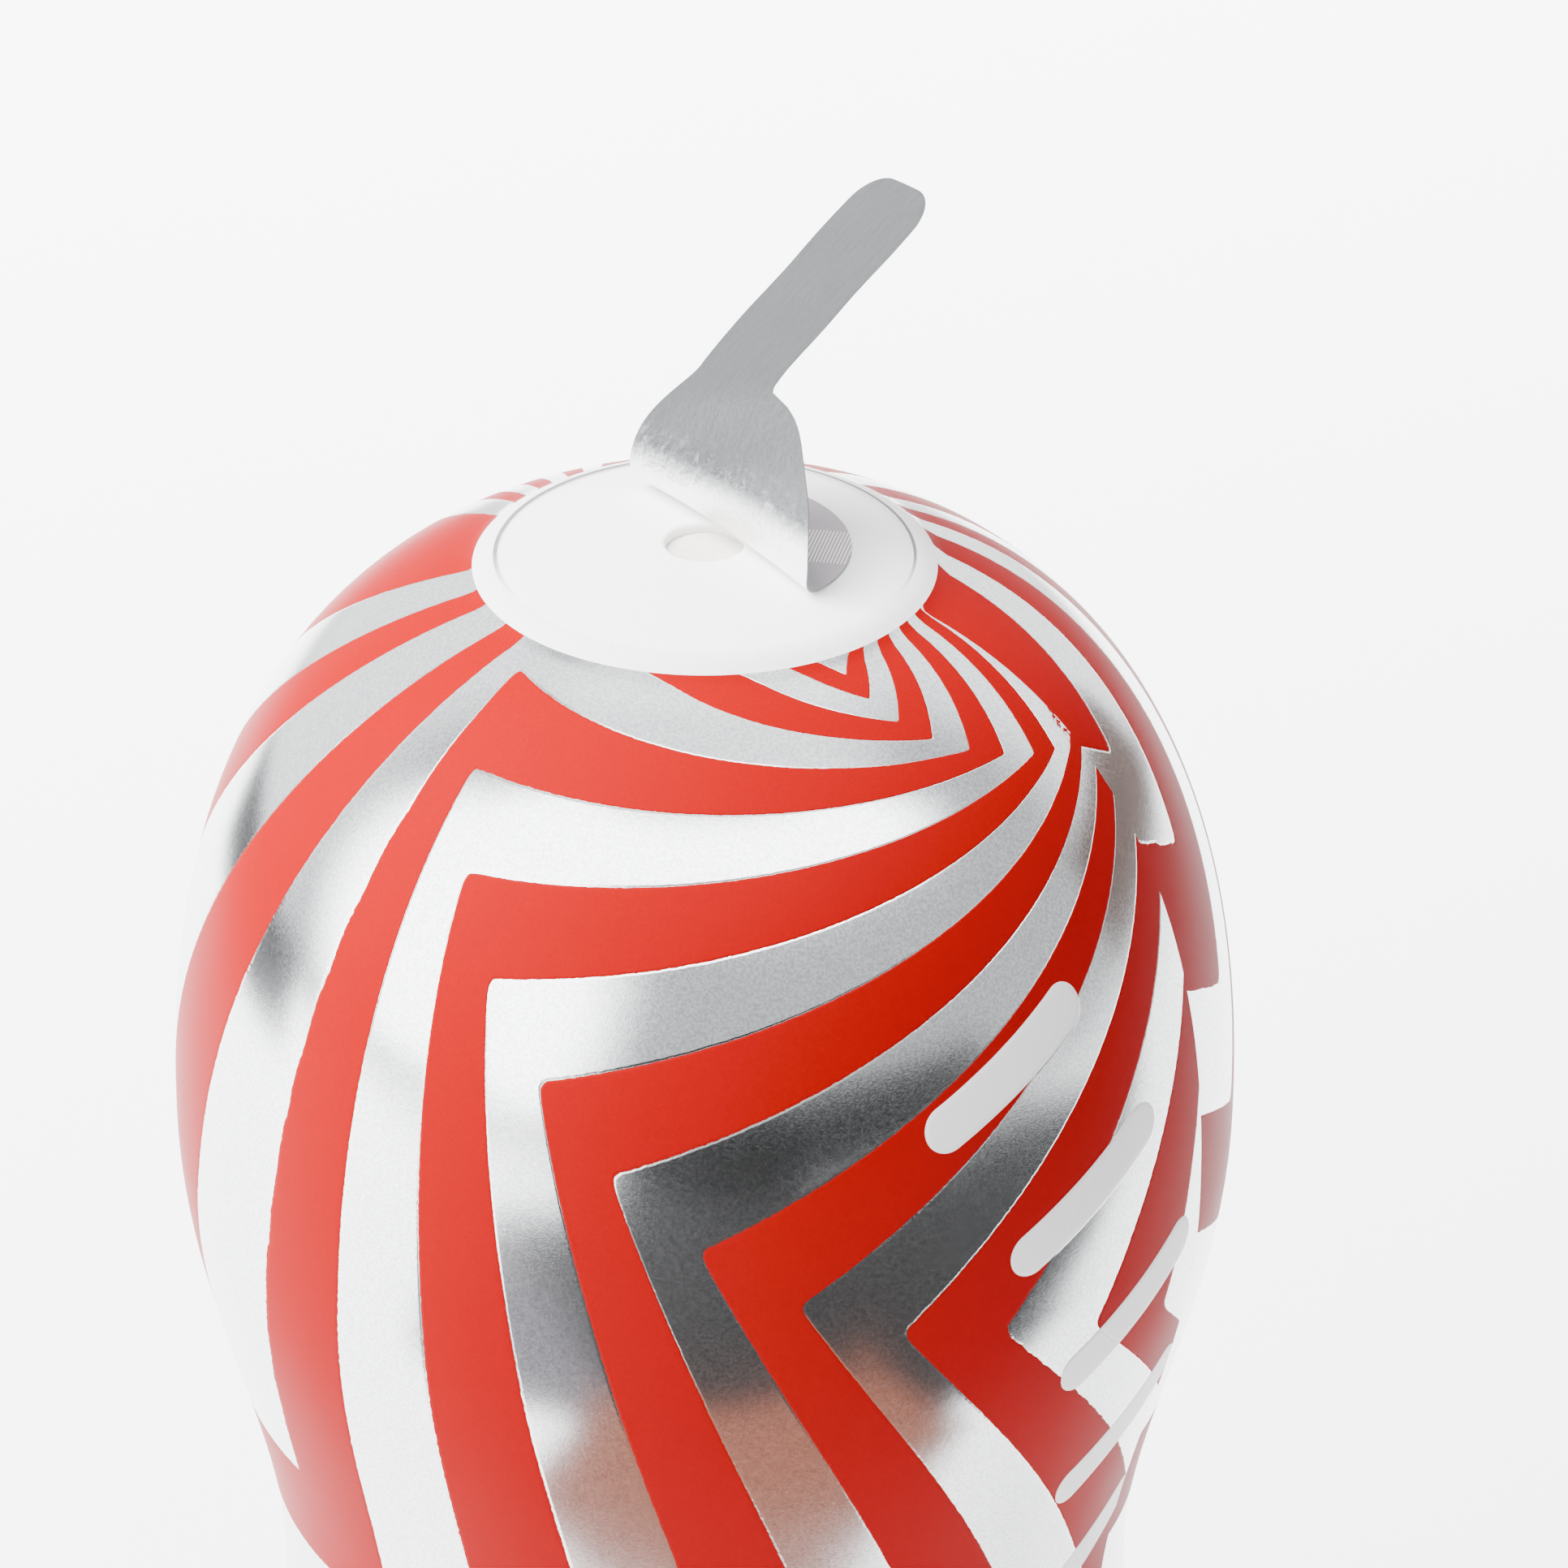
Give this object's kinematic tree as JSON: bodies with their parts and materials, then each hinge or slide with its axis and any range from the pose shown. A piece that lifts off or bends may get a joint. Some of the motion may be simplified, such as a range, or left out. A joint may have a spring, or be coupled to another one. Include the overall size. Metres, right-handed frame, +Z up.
{
  "type": "vented massager cup",
  "caption": "Waisted single-use massager cup with a pull-off base cap, a soft ribbed liner in foam, a printed shrink film and a foil seal peeled half off its top vent.",
  "frame": {"origin": "centre of the foot ring, on the surface the cup stands on", "axes": "+Z up along the cup's axis, -Y towards the side that faces a viewer"},
  "size_m": [0.069, 0.069, 0.1776],
  "materials": {
    "shell_white": "satin translucent white",
    "cap_white": "satin white",
    "printed_film": "satin print on shrink film, red with metallic silver",
    "foil": "satin foil",
    "elastomer": "soft translucent",
    "foam": "open-cell foam",
    "sponge": "fine wet sponge"
  },
  "bodies": {
    "cap": {"base_cap": "cap_white", "cap_seal_disc": "foam", "cap_film": "printed_film", "mouth_sponge": "sponge"},
    "case": {"lower_case": "shell_white", "upper_case": "shell_white", "printed_sleeve": "printed_film", "tear_strip": "printed_film", "mouth_ring": "shell_white", "inner_liner": "elastomer", "upper_jacket": "foam", "lower_jacket": "foam", "top_pad": "foam", "seal_bonded": "foil"},
    "seal": {"seal_flap": "foil"}
  },
  "joints": [
    {"name": "cap_pull", "type": "slide", "parent": "cap", "child": "case", "axis": [0, 0, 1], "range_m": [0, 0.03]},
    {"name": "seal_peel", "type": "hinge", "parent": "case", "child": "seal", "pos_m": [0.00254, 0.00159, 0.157], "axis": [-0.5299, 0.848, 0], "range_deg": [-80, 55]}
  ]
}
